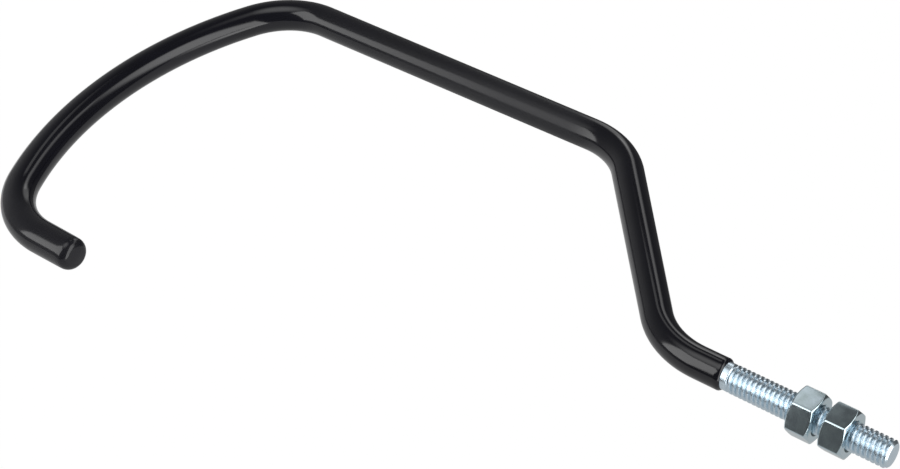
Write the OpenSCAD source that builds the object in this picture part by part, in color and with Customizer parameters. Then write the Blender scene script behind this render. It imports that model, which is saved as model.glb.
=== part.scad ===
// Threaded storage hook for hanging a bicycle by its wheel
// One round steel rod is bent to a question mark, dipped in soft vinyl up to the
// stud, and clamped through a beam or a shelf by two hexagon nuts.
// The stud stands along +Z, the hook's plane is XZ, and the origin is the middle
// of the inner nut's bearing face, where the underside of the beam rests.

/* [Rod and stud] */
// Diameter of the steel rod and of its rolled thread
rod_d = 7.94; // [6:0.02:10]
// Bare stud, from its free end to the edge of the vinyl
stud_l = 50.5; // [42:0.5:80]
// Bevel at the stud's free end
stud_chamfer = 0.7; // [0.2:0.1:1.2]
// Part of the stud next to the vinyl that has no thread
plain_l = 2; // [0:0.5:6]
// How much smaller that plain part's radius is than the thread's
plain_depth = 0.1; // [0:0.05:0.4]

/* [Bends of the rod's centre line] */
// Straight part inside the vinyl, before the first bend
lead_l = 8; // [4:0.5:20]
// Turn of the two neck bends, away from the stud and back
neck_turn = 47.5; // [30:0.5:60]
// Radius of the first neck bend
neck_r = 26.5; // [15:0.5:32]
// Straight diagonal between the neck bends
diagonal_l = 62; // [40:1:80]
// Radius of the second neck bend, at the top of the arm
shoulder_r = 27; // [15:0.5:32]
// Straight arm, parallel to the stud
arm_l = 110; // [80:1:150]
// Radius of the bend at the bottom of the arm
heel_r = 24.5; // [15:0.5:32]
// Turn of the bend at the bottom of the arm
heel_turn = 63; // [50:0.5:75]
// Radius of the wide cradle that carries the tyre
cradle_r = 110; // [80:1:140]
// Radius of the bend that turns up to the tip
toe_r = 27.5; // [15:0.5:32]
// Turn of the bend that turns up to the tip
toe_turn = 63; // [50:0.5:75]
// Straight upturned tip of the steel rod
tip_l = 14.5; // [8:0.5:40]

/* [Vinyl coating] */
// Wall at the stud, where the dip was shallow
coat_thin = 0.65; // [0.4:0.05:1]
// Wall along the arm
coat_arm = 1; // [0.8:0.05:1.6]
// Wall round the hook and its tip, which hung lowest in the dip
coat_thick = 1.2; // [1:0.05:2]
// Length over which the coating thins out to its edge on the stud
lip_l = 2.4; // [1:0.1:4]
// Wall at that edge
lip_wall = 0.12; // [0.05:0.01:0.3]
// Radius of the rounded edge at the coated tip
tip_round = 1.8; // [0.5:0.1:3]

/* [Nuts] */
// Width of a nut across its flats
nut_af = 12.7; // [11:0.1:16]
// Height of a nut
nut_h = 6.9; // [5:0.05:9]
// Bevel of the nuts' corners, in degrees from the flat face
nut_bevel = 27; // [15:1:35]
// Diametral play of a nut on the thread
nut_play = 0.1; // [0.06:0.02:0.2]
// Depth of the countersink at each end of a nut's bore
nut_sink = 0.5; // [0.2:0.1:0.8]
// Gap between the nuts, for the plate that they clamp
grip_gap = 2.9; // [2.4:0.1:10]
// Stud that stands out past the outer nut
stud_past_nut = 11.45; // [4:0.05:16]
// Turn of the inner nut about the stud, as it was left
inner_nut_turn = 1; // [0:1:60]
// Turn of the outer nut about the stud, as it was left
outer_nut_turn = 5; // [0:1:60]

/* [Hidden] */
$fn = 96;
steel = [0.78, 0.80, 0.80];
vinyl = [0.09, 0.09, 0.10];
// cuts run this far past the faces that they open
eps = 0.01;
// straights stand this much proud of the bends, and reach this far into them,
// so that each joint along the rod is a clean one
seam = 0.05;
seam_l = 0.4;

rod_r = rod_d / 2;
// heights along the stud, from the inner nut's bearing face
stud_top = grip_gap + nut_h + stud_past_nut;
coat_edge = stud_top - stud_l;
cradle_turn = 180 - heel_turn - toe_turn;
thin_r = rod_r + coat_thin;
arm_r = rod_r + coat_arm;
thick_r = rod_r + coat_thick;
// the rod stops short of the coated tip by one wall of vinyl
tip_end_wall = coat_thick;

// Each stretch of the centre line: its name, how far it runs, its bend radius, and
// its turn. A turn above zero swings the rod towards the arm's side, and 0 is a
// straight.
stretches = [
    ["lead", lead_l, 0, 0],
    ["neck", 0, neck_r, neck_turn],
    ["diagonal", diagonal_l, 0, 0],
    ["shoulder", 0, shoulder_r, -neck_turn],
    ["arm", arm_l, 0, 0],
    ["heel", 0, heel_r, -heel_turn],
    ["cradle", 0, cradle_r, -cradle_turn],
    ["toe", 0, toe_r, -toe_turn],
    ["tip", tip_l, 0, 0]
];

function index(name) = search([name], stretches)[0];
function is_bend(i) = stretches[i][3] != 0;

// Where stretch i starts, as [x, z, heading], with heading 0 straight down the stud
// and growing towards the arm at -X.
function step_x(s, h) =
    s[3] == 0
        ? -s[1] * sin(h)
        : -sign(s[3]) * s[2] * (cos(h) - cos(h + s[3]));
function step_z(s, h) =
    s[3] == 0
        ? -s[1] * cos(h)
        : -sign(s[3]) * s[2] * (sin(h + s[3]) - sin(h));
function start(i) =
    i == 0
        ? [0, coat_edge, 0]
        : let (before = start(i - 1), s = stretches[i - 1])
            [before[0] + step_x(s, before[2]), before[1] + step_z(s, before[2]), before[2] + s[3]];

// Moves a shape that points down -Z to the start of a stretch
module at_stretch(name) {
    place = start(index(name));
    translate([place[0], 0, place[1]])
        rotate([0, place[2], 0])
            children();
}

// One stretch of round bar along the centre line, with a radius at each end
module bar(name, r_from, r_to) {
    i = index(name);
    s = stretches[i];
    is_first = i == 0;
    is_last = i == len(stretches) - 1;
    at_stretch(name)
        if (is_bend(i)) {
            if (is_bend(i - 1))
                straight(0, r_from, r_from, seam_l, seam_l);
            bend(s[2], s[3], r_from);
        } else
            straight(s[1], r_from, r_to, is_first ? 0 : seam_l, is_last ? 0 : seam_l);
}

// A straight down -Z that reaches into what comes before and after it
module straight(length, r_from, r_to, before, after) {
    translate([0, 0, before])
        mirror([0, 0, 1])
            cylinder(r1 = r_from + seam, r2 = r_to + seam, h = before + length + after);
}

// A bent stretch: it starts at the origin heading down -Z, and a turn above zero
// carries it towards -X.
module bend(bend_r, turn, r) {
    side = turn > 0 ? 0 : 1;
    mirror([side, 0, 0])
        translate([-bend_r, 0, 0])
            rotate([90, 0, 0])
                rotate([0, 0, -abs(turn)])
                    rotate_extrude(angle = abs(turn))
                        translate([bend_r, 0])
                            circle(r = r);
}

module hook_rod() {
    color(steel) {
        threaded_stud();
        bent_rod();
    }
}

// The part of the rod that the vinyl covers
module bent_rod() {
    for (stretch = stretches)
        bar(stretch[0], rod_r, rod_r);
}

// The bare end of the rod, with its thread as a plain cylinder
module threaded_stud() {
    translate([0, 0, coat_edge])
        rotate_extrude()
            polygon([
                [0, -lead_l / 2],
                [rod_r - plain_depth, -lead_l / 2],
                [rod_r - plain_depth, plain_l],
                [rod_r, plain_l + plain_depth],
                [rod_r, stud_l - stud_chamfer],
                [rod_r - stud_chamfer, stud_l],
                [0, stud_l]
            ]);
}

module vinyl_coating() {
    color(vinyl)
        difference() {
            coating_outside();
            bent_rod();
        }
}

module coating_outside() {
    lip();
    bar("neck", thin_r, thin_r);
    bar("diagonal", thin_r, arm_r);
    bar("shoulder", arm_r, arm_r);
    bar("arm", arm_r, thick_r);
    for (name = ["heel", "cradle", "toe"])
        bar(name, thick_r, thick_r);
    at_stretch("tip")
        mirror([0, 0, 1])
            rounded_tip();
}

// The first straight of the coating, thinned to its edge on the stud
module lip() {
    translate([0, 0, coat_edge])
        mirror([0, 0, 1])
            rotate_extrude()
                polygon([
                    [0, 0],
                    [rod_r + lip_wall, 0],
                    [rod_r + (lip_wall + coat_thin) * 0.55, lip_l * 0.35],
                    [thin_r + seam, lip_l],
                    [thin_r + seam, lead_l + seam_l],
                    [0, lead_l + seam_l]
                ]);
}

// The last straight of the coating, closed and rounded over the rod's end
module rounded_tip() {
    end = tip_l + tip_end_wall;
    side_r = thick_r + seam;
    rotate_extrude()
        union() {
            translate([0, -seam_l])
                square([side_r, end - tip_round + seam_l]);
            square([side_r - tip_round, end]);
            translate([side_r - tip_round, end - tip_round])
                intersection() {
                    circle(r = tip_round);
                    square(2 * tip_round);
                }
        }
}

module inner_nut() {
    color(steel)
        translate([0, 0, -nut_h])
            rotate([0, 0, inner_nut_turn])
                hex_nut();
}

module outer_nut() {
    color(steel)
        translate([0, 0, grip_gap])
            rotate([0, 0, outer_nut_turn])
                hex_nut();
}

// A plain hexagon nut that stands on z = 0, bevelled at both faces
module hex_nut() {
    corner_r = nut_af / 2 / cos(30);
    face_r = nut_af / 2 * 0.97;
    bevel_h = (corner_r - face_r) * tan(nut_bevel);
    bore_r = rod_r + nut_play / 2;
    difference() {
        intersection() {
            cylinder(r = corner_r, h = nut_h, $fn = 6);
            rotate_extrude()
                polygon([
                    [0, 0],
                    [face_r, 0],
                    [corner_r, bevel_h],
                    [corner_r, nut_h - bevel_h],
                    [face_r, nut_h],
                    [0, nut_h]
                ]);
        }
        translate([0, 0, -eps])
            cylinder(r = bore_r, h = nut_h + 2 * eps);
        for (end = [0, 1])
            translate([0, 0, end * nut_h])
                mirror([0, 0, end])
                    translate([0, 0, -eps])
                        cylinder(r1 = bore_r + nut_sink + eps, r2 = bore_r, h = nut_sink + eps);
    }
}

hook_rod();
vinyl_coating();
inner_nut();
outer_nut();
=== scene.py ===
# %% [markdown]
# A bicycle storage hook, dressed for its portrait
#
# The real object is one steel rod, bent to a question mark, dipped in black
# vinyl and clamped through a beam by two hexagon nuts. The solids are given
# already, at their real size. Here each one is drawn again with what makes it
# look real: a cut thread that winds up the stud, nuts with rolled corners, and a
# vinyl skin that thins out to a wavy edge. Nothing is moved or resized.

# %% Load the solids
import math

import bpy
from mathutils import Matrix, Quaternion, Vector


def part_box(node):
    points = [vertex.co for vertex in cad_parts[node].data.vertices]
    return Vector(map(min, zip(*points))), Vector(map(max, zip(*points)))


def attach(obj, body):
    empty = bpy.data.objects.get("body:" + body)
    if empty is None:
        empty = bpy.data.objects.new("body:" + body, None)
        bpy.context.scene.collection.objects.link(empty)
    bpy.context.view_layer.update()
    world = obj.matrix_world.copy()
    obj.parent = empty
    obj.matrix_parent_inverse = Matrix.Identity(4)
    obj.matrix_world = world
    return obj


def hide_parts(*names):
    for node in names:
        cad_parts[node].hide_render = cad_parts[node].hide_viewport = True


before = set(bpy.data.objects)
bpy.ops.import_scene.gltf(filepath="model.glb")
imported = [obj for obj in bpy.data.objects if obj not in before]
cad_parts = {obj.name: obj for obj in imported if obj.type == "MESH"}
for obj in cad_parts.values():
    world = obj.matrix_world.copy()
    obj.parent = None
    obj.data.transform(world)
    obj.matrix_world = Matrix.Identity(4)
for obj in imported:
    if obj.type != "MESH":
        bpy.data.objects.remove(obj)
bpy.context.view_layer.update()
scene = bpy.context.scene

# %% [markdown]
# Units and the driving sizes
#
# Blender works in metres and a maker works in millimetres, so every size below is
# written in millimetres and turned into metres at the last moment. The few sizes
# that matter are read from the solids where they can be: the stud's ends from its
# box, the nuts' heights from theirs.

# %% Sizes
MM = 0.001


def box_mm(node):
    """The lowest and highest corner of a solid, in millimetres."""
    low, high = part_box(node)
    return low / MM, high / MM


rod_low, rod_high = box_mm("hook_rod")
coat_low, coat_high = box_mm("vinyl_coating")
inner_low, inner_high = box_mm("inner_nut")
outer_low, outer_high = box_mm("outer_nut")

ROD_R = 3.97
STUD_TOP = rod_high.z
COAT_EDGE = coat_high.z
PITCH = 25.4 / 18
PLAIN_L = 2.0
STUD_CHAMFER = 0.7

# Each stretch of the rod's centre line: ("straight", length) or ("bend", radius, turn),
# from the vinyl's edge to the tip. A turn above zero swings towards the arm at -X.
NECK_TURN = 47.5
HEEL_TURN = 63.0
TOE_TURN = 63.0
STRETCHES = [
    ("straight", 8.0),
    ("bend", 26.5, NECK_TURN),
    ("straight", 62.0),
    ("bend", 27.0, -NECK_TURN),
    ("straight", 110.0),
    ("bend", 24.5, -HEEL_TURN),
    ("bend", 110.0, -(180.0 - HEEL_TURN - TOE_TURN)),
    ("bend", 27.5, -TOE_TURN),
    ("straight", 14.5),
]
COAT_R_START = [4.62, 4.62, 4.62, 4.97, 4.97, 5.17, 5.17, 5.17, 5.17]
COAT_R_END = [4.62, 4.62, 4.97, 4.97, 5.17, 5.17, 5.17, 5.17, 5.05]
TIP_WALL = 1.2
print(f"stud {STUD_TOP - COAT_EDGE:.1f} mm bare, pitch {PITCH:.3f} mm")

# %% [markdown]
# The camera
#
# The photograph looks down at the hook from its tip's side, with the stud running
# away to the lower right. The camera stands where those lines meet, aims at a
# point in the hook's plane, and is rolled over because the hook lay on a table
# while here it hangs from its stud. The small sideways shift stands for a picture
# that was cropped off centre.

# %% Camera
CAMERA_AT = Vector((289.53, -355.28, 154.48)) * MM
AIM_AT = Vector((-20.07, 0.0, -99.65)) * MM
CAMERA_ROLL = 114.73
PHOTO_WIDTH = 900
FOCAL_PX = 1852.6
CENTRE_X_PX = 556.4
SENSOR_MM = 36.0

camera_data = bpy.data.cameras.new("portrait")
camera_data.sensor_width = SENSOR_MM
camera_data.lens = FOCAL_PX / PHOTO_WIDTH * SENSOR_MM
camera_data.shift_x = ((PHOTO_WIDTH - 1) / 2 - CENTRE_X_PX) / PHOTO_WIDTH
camera_data.clip_start = 0.01
camera = bpy.data.objects.new("portrait", camera_data)
bpy.context.collection.objects.link(camera)
look = AIM_AT - CAMERA_AT
camera.rotation_mode = "QUATERNION"
level = look.to_track_quat("-Z", "Y")
roll = Quaternion((0, 0, 1), math.radians(CAMERA_ROLL))
camera.location = CAMERA_AT
camera.rotation_quaternion = level @ roll
scene.camera = camera
print(f"lens {camera_data.lens:.1f} mm, {look.length * 1000:.0f} mm from the hook's plane")

# %% [markdown]
# Colours and nodes
#
# Colours are picked as sRGB hex values, the way paint and screens are
# described, and Blender's shaders want them linear, so one function converts
# them. One more function adds a shader node with its settings and links.

# %% Helpers for materials
scene.view_settings.view_transform = "Standard"


def linear(hex_colour):
    """An sRGB hex colour as the linear red, green, blue, alpha that a shader wants."""
    values = [int(hex_colour[i:i + 2], 16) / 255 for i in (1, 3, 5)]
    return tuple(v / 12.92 if v <= 0.04045 else ((v + 0.055) / 1.055) ** 2.4 for v in values) + (1.0,)


def add(tree, kind, settings=None, inputs=None):
    """Adds a node, sets its properties, and fills each input with a value or a link."""
    node = tree.nodes.new(kind)
    for name, value in (settings or {}).items():
        setattr(node, name, value)
    for name, value in (inputs or {}).items():
        if isinstance(value, bpy.types.NodeSocket):
            tree.links.new(value, node.inputs[name])
        else:
            node.inputs[name].default_value = value
    return node


def new_material(name):
    """An empty node material and its tree."""
    material = bpy.data.materials.new(name)
    material.use_nodes = True
    material.node_tree.nodes.clear()
    return material, material.node_tree


# %% [markdown]
# Bright zinc plating
#
# The stud and nuts are mild steel with a thin electroplated zinc layer, passivated
# clear. Zinc is a bright, slightly blue-grey metal. Plating copies the surface
# under it, so a rolled thread and a pressed nut keep a soft gloss, and the clear
# passivate adds faint blue and straw tints a few millimetres across.

# %% Zinc
def zinc_plating(name, base, tint, roughness, tint_size_mm):
    """Electroplated zinc: a metal whose tint and polish drift over a few millimetres."""
    material, tree = new_material(name)
    place = add(tree, "ShaderNodeTexCoord").outputs["Object"]
    drift = add(tree, "ShaderNodeTexNoise", None,
                {"Vector": place, "Scale": 1 / (tint_size_mm * MM), "Detail": 3.0, "Roughness": 0.55})
    colour = add(tree, "ShaderNodeMix", {"data_type": "RGBA"},
                 {0: drift.outputs["Fac"], 6: linear(base), 7: linear(tint)})
    polish = add(tree, "ShaderNodeMapRange", None,
                 {"Value": drift.outputs["Fac"], "From Min": 0.3, "From Max": 0.7,
                  "To Min": roughness * 0.8, "To Max": roughness * 1.3})
    grain_mm = 0.35
    grain = add(tree, "ShaderNodeTexNoise", None, {"Vector": place, "Scale": 1 / (grain_mm * MM), "Detail": 2.0})
    bump = add(tree, "ShaderNodeBump", None,
               {"Height": grain.outputs["Fac"], "Strength": 0.12, "Distance": 0.02 * MM})
    shader = add(tree, "ShaderNodeBsdfPrincipled", None,
                 {"Base Color": colour.outputs[2], "Metallic": 1.0, "Roughness": polish.outputs["Result"],
                  "Normal": bump.outputs["Normal"]})
    add(tree, "ShaderNodeOutputMaterial", None, {"Surface": shader.outputs["BSDF"]})
    return material


zinc_thread = zinc_plating("zinc_plated_rolled_thread", "#E1EDF6", "#CBDFEB", 0.28, 5.0)
zinc_nut = zinc_plating("zinc_plated_nut", "#CEDDE9", "#C8DBDC", 0.14, 3.0)

# %% [markdown]
# Dipped vinyl
#
# The hook's skin is plastisol, a soft PVC. The hot rod is dipped in the liquid and
# the skin sets as it drains, so its surface is glossy, with no seam and only the
# faintest orange peel. It is near black, and what the eye reads is the sharp
# reflection of the lamps. PVC's refractive index is about 1.53.

# %% Vinyl
vinyl, tree = new_material("dipped_black_vinyl")
place = add(tree, "ShaderNodeTexCoord").outputs["Object"]
PEEL_MM = 2.5
peel = add(tree, "ShaderNodeTexNoise", None, {"Vector": place, "Scale": 1 / (PEEL_MM * MM), "Detail": 1.0})
peel_bump = add(tree, "ShaderNodeBump", None,
                {"Height": peel.outputs["Fac"], "Strength": 0.25, "Distance": 0.02 * MM})
CLOUD_MM = 14.0
cloud = add(tree, "ShaderNodeTexNoise", None, {"Vector": place, "Scale": 1 / (CLOUD_MM * MM), "Detail": 2.0})
vinyl_colour = add(tree, "ShaderNodeMix", {"data_type": "RGBA"},
                   {0: cloud.outputs["Fac"], 6: linear("#0C0C12"), 7: linear("#12121B")})
vinyl_gloss = add(tree, "ShaderNodeMapRange", None,
                  {"Value": cloud.outputs["Fac"], "To Min": 0.09, "To Max": 0.15})
glossy_skin = add(tree, "ShaderNodeBsdfPrincipled", None,
                  {"Base Color": vinyl_colour.outputs[2], "Roughness": vinyl_gloss.outputs["Result"],
                   "IOR": 1.53, "Normal": peel_bump.outputs["Normal"]})
hazy_skin = add(tree, "ShaderNodeBsdfPrincipled", None,
                {"Base Color": vinyl_colour.outputs[2], "Roughness": 0.55, "IOR": 1.53})
# the skin drained slowly down the arm, and set duller there than at the stud or round the hook
height = add(tree, "ShaderNodeSeparateXYZ", None, {"Vector": place}).outputs["Z"]
HAZE = 0.85
below_neck = add(tree, "ShaderNodeMapRange", {"interpolation_type": "SMOOTHSTEP"},
                 {"Value": height, "From Min": -112 * MM, "From Max": -126 * MM})
above_heel = add(tree, "ShaderNodeMapRange", None,
                 {"Value": height, "From Min": -246 * MM, "From Max": -150 * MM, "To Max": HAZE})
haze = add(tree, "ShaderNodeMath", {"operation": "MULTIPLY"},
           {0: below_neck.outputs["Result"], 1: above_heel.outputs["Result"]})
skin_mix = add(tree, "ShaderNodeMixShader", None,
               {"Fac": haze.outputs[0], 1: glossy_skin.outputs["BSDF"], 2: hazy_skin.outputs["BSDF"]})
add(tree, "ShaderNodeOutputMaterial", None, {"Surface": skin_mix.outputs[0]})

# %% [markdown]
# From lists of points to an object
#
# Every piece here is a row of rings, so one helper turns points and faces into an
# object with smooth shading, and another walks from ring to ring.

# %% Helpers for meshes
def make_object(name, points_mm, faces, material, sharp_degrees=None):
    """A smooth mesh object from points in millimetres, with edges sharper than an angle kept crisp."""
    mesh = bpy.data.meshes.new(name)
    mesh.from_pydata([Vector(p) * MM for p in points_mm], [], faces)
    mesh.validate()
    mesh.polygons.foreach_set("use_smooth", [True] * len(mesh.polygons))
    if sharp_degrees is not None:
        mesh.set_sharp_from_angle(angle=math.radians(sharp_degrees))
    mesh.materials.append(material)
    piece = bpy.data.objects.new(name, mesh)
    bpy.context.collection.objects.link(piece)
    print(f"{name}: {len(mesh.polygons)} faces")
    return piece


def bridge(faces, ring_a, ring_b):
    """Quads between two rings of point numbers, left out where two corners are one point."""
    count = len(ring_a)
    for i in range(count):
        j = (i + 1) % count
        corners = []
        for corner in (ring_a[i], ring_a[j], ring_b[j], ring_b[i]):
            if corner not in corners:
                corners.append(corner)
        if len(corners) > 2:
            faces.append(corners)


# %% [markdown]
# The rod's centre line
#
# A rod bender works in straights and bends, so the path is walked the same way:
# forward along a straight, or round a bend a degree or two at a time. The walk
# gives each ring its place, its heading, and how thick the vinyl is there.

# %% Walk the centre line
STRAIGHT_STEP = 3.0
BEND_STEP = 1.5


def centre_line():
    """Yields (x, z, heading in degrees, stretch number, share of that stretch done) along the rod."""
    x, z, heading = 0.0, COAT_EDGE, 0.0
    for number, stretch in enumerate(STRETCHES):
        if stretch[0] == "straight":
            steps = max(2, round(stretch[1] / STRAIGHT_STEP))
        else:
            steps = max(2, round(abs(stretch[2]) / BEND_STEP))
        last = number == len(STRETCHES) - 1
        for step in range(steps + (1 if last else 0)):
            share = step / steps
            yield (*along(stretch, share, x, z, heading), number, share)
        x, z, heading = along(stretch, 1.0, x, z, heading)


def along(stretch, share, x, z, heading):
    """Where the centre line is after a share of one stretch, as x, z and heading."""
    a = math.radians(heading)
    if stretch[0] == "straight":
        return x - stretch[1] * share * math.sin(a), z - stretch[1] * share * math.cos(a), heading
    radius, turn = stretch[1], stretch[2]
    b = a + math.radians(turn * share)
    side = math.copysign(1, turn)
    return (x - side * radius * (math.cos(a) - math.cos(b)),
            z - side * radius * (math.sin(b) - math.sin(a)),
            heading + turn * share)


def ring_point(x, z, heading, radius, angle):
    """A point on a ring round the centre line, square to its heading."""
    a = math.radians(heading)
    across = radius * math.cos(angle)
    return (x + across * math.cos(a), radius * math.sin(angle), z - across * math.sin(a))


def wave(angle, phase):
    """A slow uneven swing between about -1 and 1 round a ring."""
    return 0.6 * math.sin(angle + phase) + 0.3 * math.sin(2 * angle + 1.7 * phase) + 0.1 * math.sin(5 * angle + phase)


# %% [markdown]
# The vinyl skin
#
# A modelled tube shows best what dipping does: the skin grows from the rod's
# surface over a couple of millimetres, in an edge that wanders because the liquid
# drained unevenly, and it rounds over the rod's cut end.

# %% Vinyl skin
COAT_SEGMENTS = 64
LIP_L = 0.7
LIP_REACH = 0.7
LIP_WAVE = 0.25
TIP_ROUND = 2.5
TIP_ROUND_L = 2.9
TIP_ROUND_STEPS = 10
TIP_DOME = 0.25


def coat_radius(number, share, travelled):
    """The skin's outer radius, with its edge on the stud swelling out of the rod."""
    full = COAT_R_START[number] + (COAT_R_END[number] - COAT_R_START[number]) * share
    if travelled < LIP_L:
        swell = math.sin(math.pi / 2 * min(1.0, travelled / LIP_L)) ** 0.8
        return ROD_R + 0.04 + (full - ROD_R - 0.04) * swell
    return full


def vinyl_skin():
    """The tube of vinyl, closed at the tip and open round the stud."""
    points, rings = [], []
    angles = [2 * math.pi * i / COAT_SEGMENTS for i in range(COAT_SEGMENTS)]
    lip_steps = [0.0, 0.04, 0.1, 0.18, 0.3, 0.45, 0.7, 1.4, 3.2]
    for travelled in lip_steps:
        fade = 1 - travelled / lip_steps[-1]
        ring = []
        for angle in angles:
            shift = LIP_WAVE * wave(angle, 0.9) * fade
            radius = coat_radius(0, travelled / STRETCHES[0][1], travelled)
            ring.append(len(points))
            points.append(ring_point(0.0, COAT_EDGE + LIP_REACH * fade - travelled + shift, 0.0, radius, angle))
        rings.append(ring)
    for x, z, heading, number, share in centre_line():
        if number == 0 and share * STRETCHES[0][1] <= lip_steps[-1] + 0.5:
            continue
        if number == len(STRETCHES) - 1 and (1 - share) * STRETCHES[-1][1] < TIP_ROUND_L - TIP_WALL:
            continue
        radius = coat_radius(number, share, LIP_L + 1)
        rings.append(list(range(len(points), len(points) + COAT_SEGMENTS)))
        points += [ring_point(x, z, heading, radius, angle) for angle in angles]
    # round the tip over to a slightly domed end
    tip_r = COAT_R_END[-1]
    for step in range(1, TIP_ROUND_STEPS + 1):
        turn = math.pi / 2 * step / TIP_ROUND_STEPS
        reach = TIP_WALL - TIP_DOME - TIP_ROUND_L * (1 - math.sin(turn))
        radius = tip_r - TIP_ROUND * (1 - math.cos(turn))
        rings.append(list(range(len(points), len(points) + COAT_SEGMENTS)))
        points += [ring_point(x, z + reach, heading, radius, angle) for angle in angles]
    for share in (0.75, 0.5, 0.25):
        rings.append(list(range(len(points), len(points) + COAT_SEGMENTS)))
        dome = TIP_DOME * share * share
        points += [ring_point(x, z + TIP_WALL - dome, heading, (tip_r - TIP_ROUND) * share, angle) for angle in angles]
    faces = []
    for before, after in zip(rings, rings[1:]):
        bridge(faces, before, after)
    points.append((x, 0.0, z + TIP_WALL))
    bridge(faces, rings[-1], [len(points) - 1] * COAT_SEGMENTS)
    # the inside of the edge turns in to touch the rod
    inner = list(range(len(points), len(points) + COAT_SEGMENTS))
    points += [ring_point(0.0, points[rings[0][i]][2] - 0.3, 0.0, ROD_R - 0.12, angles[i]) for i in range(COAT_SEGMENTS)]
    bridge(faces, inner, rings[0])
    return make_object("vinyl_skin", points, [face[::-1] for face in faces], vinyl)


skin = vinyl_skin()
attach(skin, "hook")
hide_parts("vinyl_coating")

# %% [markdown]
# A thread as a winding surface
#
# A rolled thread is a sixty degree groove wound round a cylinder. A screw modifier
# would do for the middle of it, but the ends matter: the first turn is cut by the
# bevel at the stud's end and the last one fades out at the vinyl. So the surface
# is made from columns of points whose heights climb one pitch in each turn, and
# one formula gives the radius anywhere, bevel and fade included.

# %% Thread helpers
THREAD_DEPTH = 0.5 * PITCH
CREST_HALF = 0.15
ROOT_HALF = 0.07
# where a turn is sampled, as shares of a pitch from the middle of a crest
TURN_SAMPLES = (0.0, 0.11, 0.15, 0.19, 0.27, 0.35, 0.42, 0.5, 0.58, 0.65, 0.73, 0.81, 0.85, 0.89)


def groove(phase):
    """How deep the thread is at a share of a pitch from a crest, from 0 at the crest to 1 at the root."""
    t = abs((phase + 0.5) % 1.0 - 0.5)
    flank = min(1.0, max(0.0, (t - CREST_HALF) / (0.5 - ROOT_HALF - CREST_HALF)))
    return 0.5 - 0.5 * math.cos(math.pi * flank) if flank in (0.0, 1.0) else 0.12 * (0.5 - 0.5 * math.cos(math.pi * flank)) + 0.88 * flank


def thread_columns(points, faces, angles, z_low, z_high, radius_at):
    """A winding surface between two heights. Returns its lowest and highest rings of points."""
    per_turn = len(TURN_SAMPLES)
    first = math.floor(z_low / PITCH) * per_turn - 2 * per_turn
    last = math.ceil(z_high / PITCH) * per_turn + per_turn
    known = {}

    def number(column, k):
        """The point of a column at its k-th sample, kept between the two heights."""
        turn, column = divmod(column, len(angles))
        k += turn * per_turn
        angle = angles[column]
        z = PITCH * (angle / (2 * math.pi) + k // per_turn + TURN_SAMPLES[k % per_turn])
        z = min(z_high, max(z_low, z))
        key = (column, round(z, 6))
        if key not in known:
            known[key] = len(points)
            radius = radius_at(angle, z)
            points.append((radius * math.cos(angle), radius * math.sin(angle), z))
        return known[key]

    for column in range(len(angles)):
        for k in range(first, last):
            corners = []
            for corner in (number(column, k), number(column + 1, k), number(column + 1, k + 1), number(column, k + 1)):
                if corner not in corners:
                    corners.append(corner)
            if len(corners) > 2:
                faces.append(corners)
    low = [known[(c, round(z_low, 6))] for c in range(len(angles))]
    high = [known[(c, round(z_high, 6))] for c in range(len(angles))]
    return low, high


# %% [markdown]
# The steel rod
#
# The rod is one piece from the stud's bevelled end to the far tip inside the
# vinyl. Only the stud shows, so the hidden run is a plain tube.

# %% Rod
THREAD_LOW = COAT_EDGE + PLAIN_L
RUNOUT = 1.6
PLAIN_R = ROD_R - 0.1
STUD_SEGMENTS = 96
HIDDEN_SEGMENTS = 96


def stud_radius(angle, z):
    """The stud's surface: a thread that fades out at the vinyl and is bevelled at its end."""
    phase = z / PITCH - angle / (2 * math.pi)
    fade = min(1.0, max(0.0, (z - THREAD_LOW) / RUNOUT))
    radius = PLAIN_R + (ROD_R - PLAIN_R) * fade - THREAD_DEPTH * groove(phase) * fade
    return min(radius, ROD_R - STUD_CHAMFER + (STUD_TOP - z))


def steel_rod():
    """The threaded stud and the bent rod behind it, as one closed surface."""
    points, faces = [], []
    angles = [2 * math.pi * i / STUD_SEGMENTS for i in range(STUD_SEGMENTS)]
    low, high = thread_columns(points, faces, angles, THREAD_LOW, STUD_TOP, stud_radius)
    points.append((0.0, 0.0, STUD_TOP))
    bridge(faces, high, [len(points) - 1] * STUD_SEGMENTS)
    before = low
    for x, z, heading, number, share in centre_line():
        ring = list(range(len(points), len(points) + HIDDEN_SEGMENTS))
        radius = PLAIN_R if number == 0 and share < 0.5 else ROD_R - 0.02
        points += [ring_point(x, z, heading, radius, angle) for angle in angles]
        bridge(faces, ring, before)
        before = ring
    points.append((x, 0.0, z))
    bridge(faces, [len(points) - 1] * HIDDEN_SEGMENTS, before)
    return make_object("threaded_rod", points, faces, zinc_thread, 40)


rod = steel_rod()
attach(rod, "hook")
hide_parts("hook_rod")

# %% [markdown]
# The nuts
#
# A pressed hexagon nut has thirty degree bevels that cut its flats in shallow
# arcs, a round bearing face inside them, and a countersunk bore. The outline is
# six flats with small round corners. For each point of it the bevel's cone gives
# the height of the edge, and that draws the arcs by itself. The bore is the same
# winding surface as the stud's, a little wider.

# %% Nuts
FLATS = 12.7
BEVEL = math.tan(math.radians(27))
FACE_R = FLATS / 2 * 0.97
CORNER_ROUND = 0.6
NUT_SINK = 0.5
THREAD_GAP = 0.06
FLAT_POINTS = 10
CORNER_POINTS = 5


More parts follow.
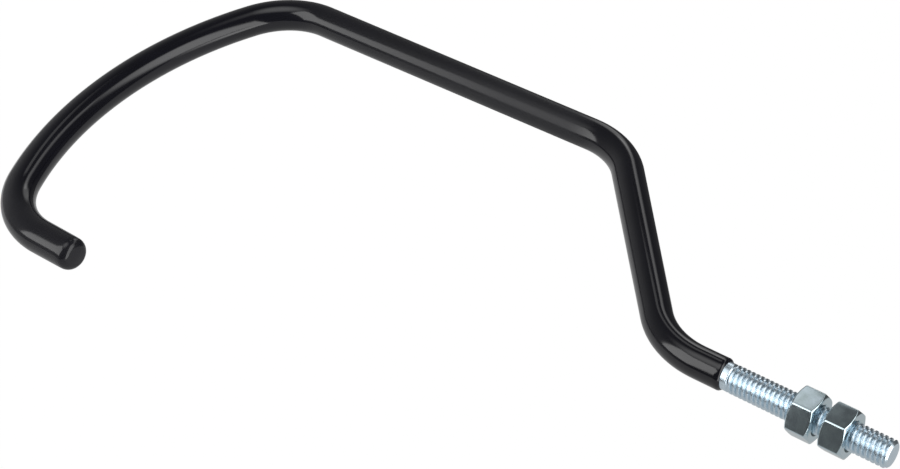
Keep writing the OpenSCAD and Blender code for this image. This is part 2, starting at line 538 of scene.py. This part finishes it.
def hexagon(turn):
    """Points round a hexagon with rounded corners, as (angle, radius), the first corner turned by some degrees."""
    apothem = FLATS / 2
    centre_r = (apothem - CORNER_ROUND) / math.cos(math.radians(30))
    outline = []
    for corner in range(6):
        middle = math.radians(60 * corner)
        cx, cy = centre_r * math.cos(middle), centre_r * math.sin(middle)
        for i in range(CORNER_POINTS):
            a = middle + math.radians(-30 + 60 * i / (CORNER_POINTS - 1))
            outline.append((cx + CORNER_ROUND * math.cos(a), cy + CORNER_ROUND * math.sin(a)))
        after = math.radians(60 * (corner + 1))
        start = outline[-1]
        end = (centre_r * math.cos(after) + CORNER_ROUND * math.cos(after - math.radians(30)),
               centre_r * math.sin(after) + CORNER_ROUND * math.sin(after - math.radians(30)))
        for i in range(1, FLAT_POINTS):
            share = i / FLAT_POINTS
            outline.append((start[0] + (end[0] - start[0]) * share, start[1] + (end[1] - start[1]) * share))
    polar = [((math.atan2(y, x) + math.radians(turn)) % (2 * math.pi), math.hypot(x, y)) for x, y in outline]
    return sorted(polar)


def nut(name, z_low, z_high, turn):
    """A hexagon nut between two heights, threaded to match the stud."""
    outline = hexagon(turn)
    angles = [a for a, r in outline]
    points, faces = [], []

    def bore_radius(angle, z):
        """The internal thread, opened at both ends by the countersink."""
        phase = z / PITCH - angle / (2 * math.pi)
        thread = ROD_R + THREAD_GAP - THREAD_DEPTH * groove(phase) * 0.86
        sink = ROD_R + THREAD_GAP + NUT_SINK - min(z - z_low, z_high - z)
        return max(thread, sink)

    bore_low, bore_high = thread_columns(points, faces, angles, z_low, z_high, bore_radius)
    faces[:] = [face[::-1] for face in faces]

    def ring(radius_of, z_of):
        """A ring of points from a radius and a height for each point of the outline."""
        numbers = list(range(len(points), len(points) + len(outline)))
        for angle, r in outline:
            points.append((radius_of(r) * math.cos(angle), radius_of(r) * math.sin(angle), z_of(r)))
        return numbers

    def half(end, inwards):
        """The rings from the bearing face at one end out to the edge of the flats."""
        soft = 0.22
        return [
            ring(lambda r: FACE_R - 2 * soft, lambda r: end),
            ring(lambda r: FACE_R - soft / 2, lambda r: end + inwards * 0.01),
            ring(lambda r: FACE_R + soft / 2, lambda r: end + inwards * (soft / 2 * BEVEL + 0.012)),
            ring(lambda r: r - soft, lambda r: end + inwards * (r - soft - FACE_R) * BEVEL),
            ring(lambda r: r - soft * 0.25, lambda r: end + inwards * ((r - FACE_R) * BEVEL + soft * 0.35)),
            ring(lambda r: r, lambda r: end + inwards * ((r - FACE_R) * BEVEL + soft * 1.2)),
        ]

    low, high = half(z_low, 1), half(z_high, -1)
    around = [bore_low] + low + high[::-1] + [bore_high]
    for before, after in zip(around, around[1:]):
        bridge(faces, after, before)
    piece = make_object(name, points, faces, zinc_nut, 50)
    flat = piece.modifiers.new("flat_faces", "WEIGHTED_NORMAL")
    flat.weight = 80
    flat.keep_sharp = True
    return piece


INNER_TURN = 1.0
OUTER_TURN = 5.0
inner = nut("inner_hex_nut", inner_low.z, inner_high.z, INNER_TURN)
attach(inner, "lower_nut")
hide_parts("inner_nut")
outer = nut("outer_hex_nut", outer_low.z, outer_high.z, OUTER_TURN)
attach(outer, "upper_nut")
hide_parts("outer_nut")

# %% [markdown]
# A white room with a few soft boxes
#
# The photograph was lit like most catalogue pictures: a white table under the
# object, one soft box low on the left, one on the right, and a dimmer one
# overhead. A glossy black rod is drawn almost wholly by their reflections, so
# each lamp's place and size is what shapes the highlights.

# %% Floor and world
FLOOR_BELOW = 0.95
floor_z = coat_low.z * MM - FLOOR_BELOW
FLOOR_HALF = 4.0
floor_mesh = bpy.data.meshes.new("floor")
floor_mesh.from_pydata([(x * FLOOR_HALF, y * FLOOR_HALF, floor_z) for x, y in ((-1, -1), (1, -1), (1, 1), (-1, 1))],
                       [], [(0, 1, 2, 3)])
floor = bpy.data.objects.new("floor", floor_mesh)
bpy.context.collection.objects.link(floor)

paper, tree = new_material("white_paper_sweep")
path = add(tree, "ShaderNodeLightPath")
GLOSSY_SHARE = 0.03
paper_shader = add(tree, "ShaderNodeBsdfDiffuse", None, {"Color": linear("#E6E6E6")})
paper_glow = add(tree, "ShaderNodeEmission", None, {"Color": (1.0, 1.0, 1.0, 1.0), "Strength": 1.02})
GLOW_SHARE = 0.98
in_gloss = add(tree, "ShaderNodeMath", {"operation": "MULTIPLY"},
               {0: path.outputs["Is Glossy Ray"], 1: GLOSSY_SHARE})
glow_amount = add(tree, "ShaderNodeMath", {"operation": "MULTIPLY_ADD"},
                  {0: path.outputs["Is Camera Ray"], 1: GLOW_SHARE, 2: in_gloss.outputs[0]})
paper_mix = add(tree, "ShaderNodeMixShader", None,
                {"Fac": glow_amount.outputs[0], 1: paper_shader.outputs[0], 2: paper_glow.outputs[0]})
add(tree, "ShaderNodeOutputMaterial", None, {"Surface": paper_mix.outputs[0]})
floor_mesh.materials.append(paper)

world = bpy.data.worlds.new("white_room")
scene.world = world
world.use_nodes = True
tree = world.node_tree
tree.nodes.clear()
ROOM_LIGHT = 0.06
path = add(tree, "ShaderNodeLightPath")
in_gloss = add(tree, "ShaderNodeMath", {"operation": "MULTIPLY"},
               {0: path.outputs["Is Glossy Ray"], 1: GLOSSY_SHARE})
white_share = add(tree, "ShaderNodeMath", {"operation": "ADD"},
                  {0: path.outputs["Is Camera Ray"], 1: in_gloss.outputs[0]})
seen = add(tree, "ShaderNodeMapRange", None, {"Value": white_share.outputs[0], "To Min": ROOM_LIGHT, "To Max": 1.0})
sky = add(tree, "ShaderNodeBackground", None, {"Color": (1.0, 1.0, 1.0, 1.0), "Strength": seen.outputs["Result"]})
add(tree, "ShaderNodeOutputWorld", None, {"Surface": sky.outputs["Background"]})


# %% Soft boxes
HOOK_MIDDLE = Vector((-10.0, 0.0, -110.0)) * MM
TABLE_NORMAL = Vector((0, -1, 0))


def soft_box(name, around, above, span, radiance, distance=1.0, cuts=(), round_edge=None, roll=0.0):
    """A soft box that faces the hook. around turns from +X towards +Z, and above rises from the table.

    span is its left, right, bottom and top seen from the hook, as shares of the distance.
    Each cut is (across, up, dark, full): the panel brightens along that direction between two shares.
    round_edge is the share of its width, from the middle out, that stays at full brightness.
    roll turns the panel about its aim, in degrees, and lifts its right end.
    """
    a, e = math.radians(around), math.radians(above)
    out = Vector((math.cos(e) * math.cos(a), -math.sin(e), math.cos(e) * math.sin(a)))
    right = TABLE_NORMAL.cross(out).normalized() if abs(out.y) < 0.99 else Vector((1, 0, 0))
    right = Quaternion(out, math.radians(roll)) @ right
    up = out.cross(right)
    left_end, right_end, bottom, top = (share * distance for share in span)
    data = bpy.data.lights.new(name, "AREA")
    data.shape = "RECTANGLE"
    data.size, data.size_y = right_end - left_end, top - bottom
    data.energy = radiance * math.pi * data.size * data.size_y
    data.use_nodes = True
    tree = data.node_tree
    tree.nodes.clear()
    spot = add(tree, "ShaderNodeNewGeometry").outputs["Parametric"]
    level = 1.0
    for across, climb, dark, full in cuts:
        along_cut = add(tree, "ShaderNodeVectorMath", {"operation": "DOT_PRODUCT"}, {0: spot, 1: (across, climb, 0.0)})
        part = add(tree, "ShaderNodeMapRange", {"interpolation_type": "SMOOTHSTEP"},
                   {"Value": along_cut.outputs["Value"], "From Min": dark, "From Max": full})
        level = add(tree, "ShaderNodeMath", {"operation": "MULTIPLY"}, {0: level, 1: part.outputs["Result"]}).outputs[0]
    if round_edge is not None:
        away = add(tree, "ShaderNodeVectorMath", {"operation": "DISTANCE"}, {0: spot, 1: (0.5, 0.5, 0.0)})
        part = add(tree, "ShaderNodeMapRange", {"interpolation_type": "SMOOTHSTEP"},
                   {"Value": away.outputs["Value"], "From Min": 0.5, "From Max": round_edge / 2})
        level = add(tree, "ShaderNodeMath", {"operation": "MULTIPLY"}, {0: level, 1: part.outputs["Result"]}).outputs[0]
    glow = add(tree, "ShaderNodeEmission", None, {"Strength": level})
    add(tree, "ShaderNodeOutputLight", None, {"Surface": glow.outputs[0]})
    lamp = bpy.data.objects.new(name, data)
    lamp.location = (HOOK_MIDDLE + out * distance + right * (left_end + right_end) / 2 + up * (bottom + top) / 2)
    lamp.rotation_mode = "QUATERNION"
    lamp.rotation_quaternion = Matrix((right, up, out)).transposed().to_quaternion()
    lamp.visible_camera = False
    bpy.context.collection.objects.link(lamp)
    return lamp


soft_box("left_box", -45, 27, (-0.19, 0.48, -0.32, 0.56), 2.7, cuts=((1, 0, 0.0, 0.09),))
soft_box("right_box", 99, 25, (-1.5, 0.80, -1.0, 0.63), 2.7,
         cuts=((1, -0.775, -0.09, 0.0), (-1.243, 0.70, -0.75, -0.51), (-1.243, 0, -1.40, -0.85),
               (0, -1, -1.0, -0.88)))
soft_box("back_strip", 178, 33, (-0.5, 0.45, -0.2, 0.13), 1.3, cuts=((0, 1, 0.0, 0.6), (0, -1, -1.0, -0.85)), roll=-24)
soft_box("side_card", -157, 16, (-0.20, 0.24, -0.36, 0.34), 0.9, round_edge=0.4)
soft_box("nut_card", -152, 48, (-0.10, 0.10, -0.09, 0.18), 0.78, cuts=((0, -1, -1.0, -0.56),))
soft_box("overhead_box", -50, 78, (-0.55, 0.55, -0.55, 0.55), 1.6, round_edge=0.2)
soft_box("table_bounce", 0, -90, (-1.5, 7, -7, 7), 0.42, distance=0.10)
